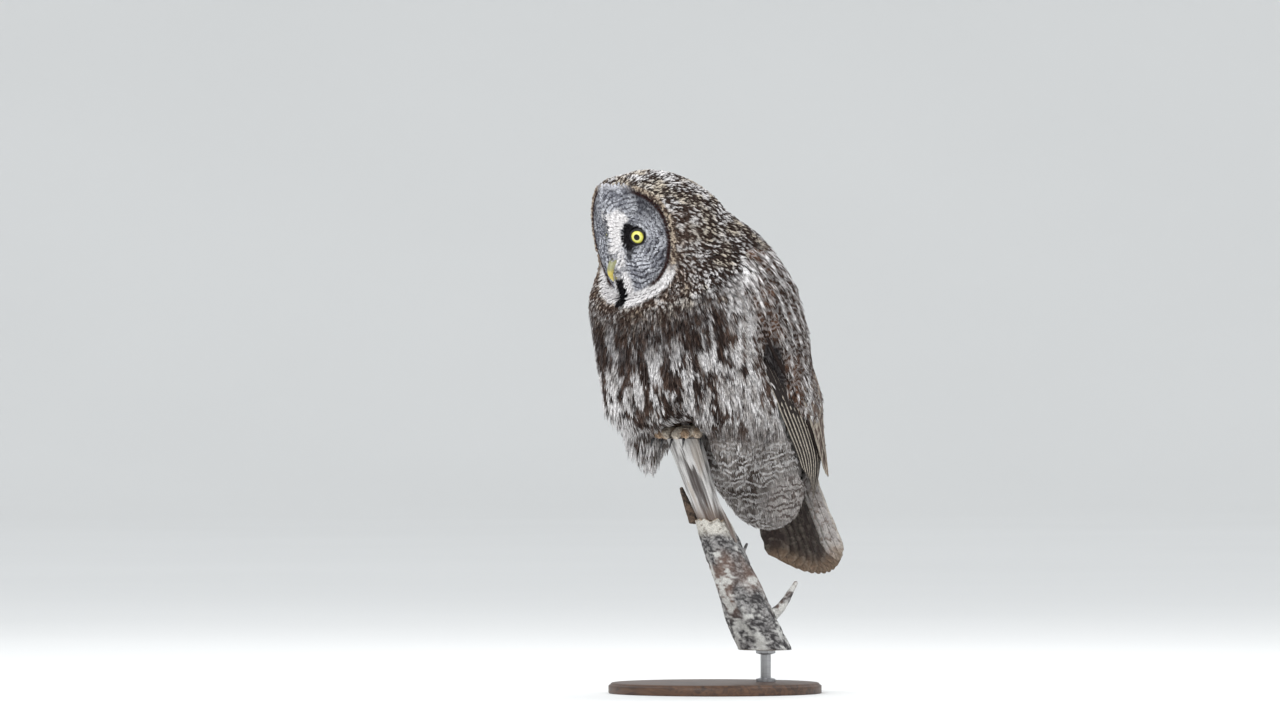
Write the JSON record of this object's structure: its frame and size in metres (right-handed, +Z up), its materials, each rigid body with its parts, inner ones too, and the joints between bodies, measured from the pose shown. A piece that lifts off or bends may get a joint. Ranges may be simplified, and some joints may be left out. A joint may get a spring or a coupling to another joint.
{
  "type": "great grey owl model",
  "caption": "Life-size great grey owl, wings folded and head turned, on a short broken-off branch held by a round display stand.",
  "frame": {"origin": "centre of the underside of the stand's round base, on the floor", "axes": "+Z up; -Y is the way the owl's body faces; +X is the owl's left side"},
  "size_m": [0.32, 0.4564, 0.7838],
  "materials": {
    "plumage": "matte, soft overlapping feathers, mottled grey, brown and off-white",
    "face_plumage": "matte, fine feathers in dark and pale rings round each eye",
    "flight_feather": "satin vanes, brown-grey with pale bars and edges",
    "eye": "clear gloss over a yellow iris and a black pupil",
    "bill": "semi-gloss horn, yellow",
    "toe": "matte, short buff feathering",
    "claw": "semi-gloss horn, near black",
    "bare_wood": "matte, weathered, silver-grey, split along the grain",
    "bark": "matte, rough, grey with pale and dark patches",
    "base_wood": "satin, dark stained",
    "rod_metal": "satin"
  },
  "bodies": {
    "root": {"stand_base": "base_wood", "stand_rod": "rod_metal", "perch_wood": "bare_wood", "perch_splinter": "bare_wood", "perch_bark": "bark", "perch_flap": "bark", "perch_fork": "bark", "perch_twig": "bark", "eye_left": "eye", "eye_right": "eye", "bill_upper": "bill", "bill_lower": "bill", "wing_left": "flight_feather", "wing_right": "flight_feather", "primaries_left": "flight_feather", "primaries_right": "flight_feather", "leg_left": "plumage", "leg_right": "plumage", "foot_left": "toe", "foot_right": "toe", "tail": "flight_feather", "head": "face_plumage", "neck": "plumage", "breast": "plumage", "back": "plumage", "belly": "plumage", "rump": "plumage", "claw_left_1": "claw", "claw_left_2": "claw", "claw_left_3": "claw", "claw_left_4": "claw", "claw_right_1": "claw", "claw_right_2": "claw", "claw_right_3": "claw", "claw_right_4": "claw"}
  },
  "joints": []
}
